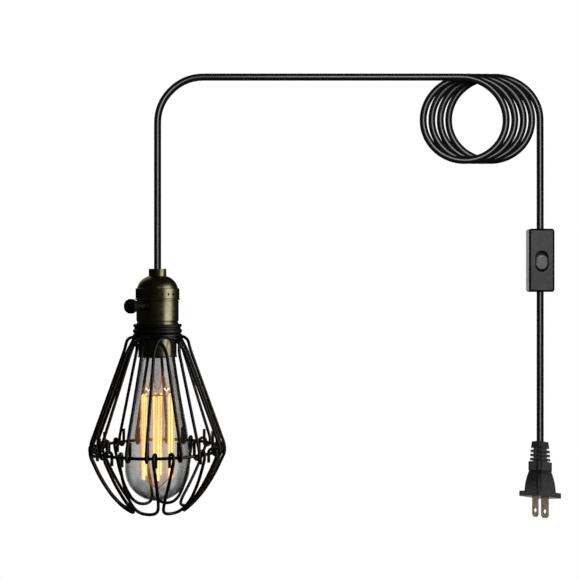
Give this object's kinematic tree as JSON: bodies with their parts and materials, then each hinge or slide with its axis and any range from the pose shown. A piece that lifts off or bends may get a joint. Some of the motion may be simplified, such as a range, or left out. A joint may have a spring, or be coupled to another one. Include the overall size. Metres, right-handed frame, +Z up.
{
  "type": "plug-in cage pendant light",
  "caption": "Hanging cage lamp: brass key socket, folding wire cage, filament bulb, black cord with a coil, inline rocker switch and a two-blade plug.",
  "frame": {"origin": "the point of the cord that the lamp hangs from, on the lamp's axis, 131.8 mm above the socket's neck", "axes": "+Z up along the lamp's axis; the front faces -Y; the cord runs off towards +X"},
  "size_m": [0.4269, 0.1238, 0.4073],
  "materials": {
    "cord_jacket": "black round vinyl jacket, glossy",
    "antique_brass": "antique brass, satin, darkened",
    "black_nylon": "moulded nylon",
    "blackened_screw": "blackened steel",
    "liner_board": "insulating fibre board",
    "phenolic": "brown-black phenolic moulding",
    "plain_brass": "bare brass",
    "black_bakelite": "black moulded, satin gloss",
    "black_wire": "black enamelled steel wire",
    "smoked_glass": "clear blown glass with a light smoky tint",
    "clear_glass": "clear glass stem",
    "black_glass": "black glass insulator",
    "base_metal": "bright lamp base",
    "lead_wire": "nickel and molybdenum wire",
    "filament": "glowing carbon filament",
    "switch_plastic": "dark grey moulded shell",
    "rocker_plastic": "mid grey moulded rocker",
    "plug_vinyl": "black moulded vinyl",
    "blade_brass": "darkened brass blades"
  },
  "bodies": {
    "lamp": {"bulb_base_insulator": "black_glass", "bulb_base_shell": "base_metal", "bulb_contact": "base_metal", "bulb_filament": "filament", "bulb_glass": "smoked_glass", "bulb_leads": "lead_wire", "bulb_stem": "clear_glass", "bulb_supports": "lead_wire", "cage_collar": "black_wire", "centre_contact": "plain_brass", "cord_coil": "cord_jacket", "cord_drop": "cord_jacket", "cord_grip": "black_nylon", "cord_tail_lower": "cord_jacket", "cord_tail_upper": "cord_jacket", "equator_ring": "black_wire", "insulating_liner": "liner_board", "narrow_blade": "blade_brass", "neck_screw": "blackened_screw", "plug_body": "plug_vinyl", "rocker_pin": "blackened_screw", "screw_shell": "plain_brass", "shade_ring": "black_bakelite", "socket_cap": "antique_brass", "socket_shell": "antique_brass", "switch_base": "switch_plastic", "switch_contacts": "plain_brass", "switch_core": "phenolic", "switch_cover": "switch_plastic", "switch_screws": "blackened_screw", "terminal_screws": "plain_brass", "upper_petal_1": "black_wire", "upper_petal_2": "black_wire", "upper_petal_3": "black_wire", "upper_petal_4": "black_wire", "upper_petal_5": "black_wire", "upper_petal_6": "black_wire", "upper_petal_7": "black_wire", "upper_petal_8": "black_wire", "wide_blade": "blade_brass"},
    "knob": {"knob_shaft": "blackened_screw", "turn_knob": "black_bakelite"},
    "rocker": {"switch_rocker": "rocker_plastic"},
    "petal_1": {"lower_petal_1": "black_wire"},
    "petal_2": {"lower_petal_2": "black_wire"},
    "petal_3": {"lower_petal_3": "black_wire"},
    "petal_4": {"lower_petal_4": "black_wire"},
    "petal_5": {"lower_petal_5": "black_wire"},
    "petal_6": {"lower_petal_6": "black_wire"},
    "petal_7": {"lower_petal_7": "black_wire"},
    "petal_8": {"lower_petal_8": "black_wire"}
  },
  "joints": [
    {"name": "knob_turn", "type": "hinge", "parent": "lamp", "child": "knob", "pos_m": [0, 0, -0.1649], "axis": [-0.4695, -0.8829, 0], "continuous": true},
    {"name": "rocker_tilt", "type": "hinge", "parent": "lamp", "child": "rocker", "pos_m": [0.3512, 0.02705, -0.1243], "axis": [-1, 0, 0], "range_deg": [0, 24]},
    {"name": "lower_petal_1_swing", "type": "hinge", "parent": "lamp", "child": "petal_1", "pos_m": [0.03122, -0.04526, -0.2935], "axis": [-0.8231, -0.5678, 0], "range_deg": [0, 110]},
    {"name": "lower_petal_2_swing", "type": "hinge", "parent": "lamp", "child": "petal_2", "pos_m": [0.05408, -0.00992, -0.2935], "axis": [-0.1805, -0.9836, 0], "range_deg": [0, 110]},
    {"name": "lower_petal_3_swing", "type": "hinge", "parent": "lamp", "child": "petal_3", "pos_m": [0.04526, 0.03122, -0.2935], "axis": [0.5678, -0.8231, 0], "range_deg": [0, 110]},
    {"name": "lower_petal_4_swing", "type": "hinge", "parent": "lamp", "child": "petal_4", "pos_m": [0.00992, 0.05408, -0.2935], "axis": [0.9836, -0.1805, 0], "range_deg": [0, 110]},
    {"name": "lower_petal_5_swing", "type": "hinge", "parent": "lamp", "child": "petal_5", "pos_m": [-0.03122, 0.04526, -0.2935], "axis": [0.8231, 0.5678, 0], "range_deg": [0, 110]},
    {"name": "lower_petal_6_swing", "type": "hinge", "parent": "lamp", "child": "petal_6", "pos_m": [-0.05408, 0.00992, -0.2935], "axis": [0.1805, 0.9836, 0], "range_deg": [0, 110]},
    {"name": "lower_petal_7_swing", "type": "hinge", "parent": "lamp", "child": "petal_7", "pos_m": [-0.04526, -0.03122, -0.2935], "axis": [-0.5678, 0.8231, 0], "range_deg": [0, 110]},
    {"name": "lower_petal_8_swing", "type": "hinge", "parent": "lamp", "child": "petal_8", "pos_m": [-0.00992, -0.05408, -0.2935], "axis": [-0.9836, 0.1805, 0], "range_deg": [0, 110]}
  ]
}
